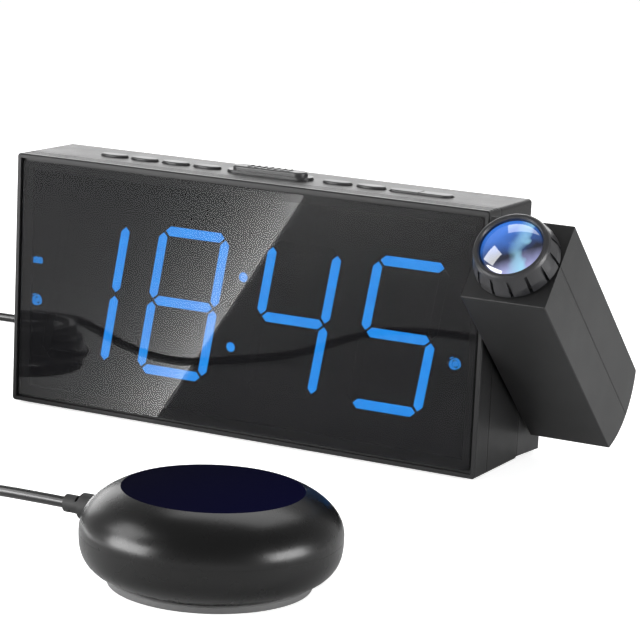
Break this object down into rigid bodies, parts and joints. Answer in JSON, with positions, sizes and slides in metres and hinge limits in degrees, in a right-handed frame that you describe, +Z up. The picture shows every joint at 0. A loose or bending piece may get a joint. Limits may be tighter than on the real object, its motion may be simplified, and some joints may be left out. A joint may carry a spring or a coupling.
{
  "type": "projection alarm clock",
  "caption": "Wide digital alarm clock with a swivelling projector arm, top keys and a round bed shaker on a cable.",
  "frame": {"origin": "on the table, at the middle of the front foot strip's underside", "axes": "+X to the right along the clock's front, +Y towards its back, +Z up"},
  "size_m": [0.3322, 0.2984, 0.0917],
  "materials": {
    "case_plastic": "fine textured black",
    "window": "smoked gloss",
    "mask_plastic": "flat black",
    "digit_blue": "lit blue",
    "circuit_board": "green lacquer",
    "lamp_white": "clear epoxy",
    "key_plastic": "satin black",
    "steel": "bright",
    "nickel": "plated",
    "rubber": "matte black",
    "ring_plastic": "satin",
    "lens_glass": "coated",
    "clear_plastic": "clear",
    "shaker_plastic": "satin black",
    "shaker_cloth": "soft touch navy tint",
    "cord_jacket": "satin black"
  },
  "bodies": {
    "case": {"front_bezel": "case_plastic", "display_window": "window", "segment_mask": "mask_plastic", "digit_segments": "digit_blue", "icon_guides": "digit_blue", "display_leds": "lamp_white", "display_board": "circuit_board", "main_casing": "case_plastic", "rear_cover": "case_plastic", "backup_cell": "steel", "cell_contact": "nickel", "shaker_jack": "mask_plastic", "power_jack": "mask_plastic", "usb_port": "steel", "main_board": "circuit_board", "speaker": "mask_plastic", "case_screws": "steel", "front_foot": "rubber", "rear_foot": "rubber", "rocker_pin": "steel", "key_board": "circuit_board", "key_switches": "mask_plastic", "shaker_top_shell": "shaker_plastic", "shaker_bottom_shell": "shaker_plastic", "shaker_top_pad": "shaker_cloth", "shaker_base_pad": "rubber", "vibration_motor": "steel", "motor_bracket": "mask_plastic", "shaker_boot": "rubber", "shaker_plug": "rubber", "cord_clock_run": "cord_jacket", "cord_coil": "cord_jacket", "cord_shaker_run": "cord_jacket"},
    "arm": {"arm_front_shell": "case_plastic", "arm_rear_shell": "case_plastic", "arm_screws": "steel", "pivot_hub": "mask_plastic", "optics_chassis": "mask_plastic", "projector_led_board": "circuit_board", "projector_led": "lamp_white", "condenser_lens": "clear_plastic", "projector_lcd": "clear_plastic", "pivot_washer": "rubber"},
    "focus_grip": {"focus_ring": "ring_plastic", "lens_barrel": "mask_plastic", "projection_lens": "lens_glass"},
    "rocker": {"volume_rocker": "key_plastic"},
    "cell_door": {"battery_door": "case_plastic"},
    "motor_weight": {"eccentric_weight": "steel"},
    "key_set_button": {"set_button": "key_plastic"},
    "key_alarm_one_button": {"alarm_one_button": "key_plastic"},
    "key_alarm_two_button": {"alarm_two_button": "key_plastic"},
    "key_sound_button": {"sound_button": "key_plastic"},
    "key_shake_button": {"shake_button": "key_plastic"},
    "key_display_button": {"display_button": "key_plastic"},
    "key_snooze_bar": {"snooze_bar": "key_plastic"}
  },
  "joints": [
    {"name": "arm_swivel", "type": "hinge", "parent": "case", "child": "arm", "pos_m": [0.0905, 0.0245, 0.0356], "axis": [1, 0, 0], "range_deg": [-138.05, 41.95]},
    {"name": "focus_turn", "type": "hinge", "parent": "arm", "child": "focus_grip", "pos_m": [0.1057, -0.02102, 0.07651], "axis": [0, -0.7437, 0.6685], "range_deg": [-150, 150]},
    {"name": "rocker_tilt", "type": "hinge", "parent": "case", "child": "rocker", "pos_m": [0.0574, 0.0088, 0.0845], "axis": [0, 1, 0], "range_deg": [-2.5, 2.5], "stiffness_Nm_per_rad": 0.05},
    {"name": "cell_door_slide", "type": "slide", "parent": "case", "child": "cell_door", "axis": [0, 0, 1], "range_m": [0, 0.011]},
    {"name": "weight_spin", "type": "hinge", "parent": "case", "child": "motor_weight", "pos_m": [0.087, -0.153, 0.014], "axis": [1, 0, 0], "continuous": true},
    {"name": "set_button_press", "type": "slide", "parent": "case", "child": "key_set_button", "axis": [0, 0, -1], "range_m": [0, 0.0005], "stiffness_N_per_m": 800},
    {"name": "alarm_one_button_press", "type": "slide", "parent": "case", "child": "key_alarm_one_button", "axis": [0, 0, -1], "range_m": [0, 0.0005], "stiffness_N_per_m": 800},
    {"name": "alarm_two_button_press", "type": "slide", "parent": "case", "child": "key_alarm_two_button", "axis": [0, 0, -1], "range_m": [0, 0.0005], "stiffness_N_per_m": 800},
    {"name": "sound_button_press", "type": "slide", "parent": "case", "child": "key_sound_button", "axis": [0, 0, -1], "range_m": [0, 0.0005], "stiffness_N_per_m": 800},
    {"name": "shake_button_press", "type": "slide", "parent": "case", "child": "key_shake_button", "axis": [0, 0, -1], "range_m": [0, 0.0005], "stiffness_N_per_m": 800},
    {"name": "display_button_press", "type": "slide", "parent": "case", "child": "key_display_button", "axis": [0, 0, -1], "range_m": [0, 0.0005], "stiffness_N_per_m": 800},
    {"name": "snooze_bar_press", "type": "slide", "parent": "case", "child": "key_snooze_bar", "axis": [0, 0, -1], "range_m": [0, 0.0005], "stiffness_N_per_m": 800}
  ]
}
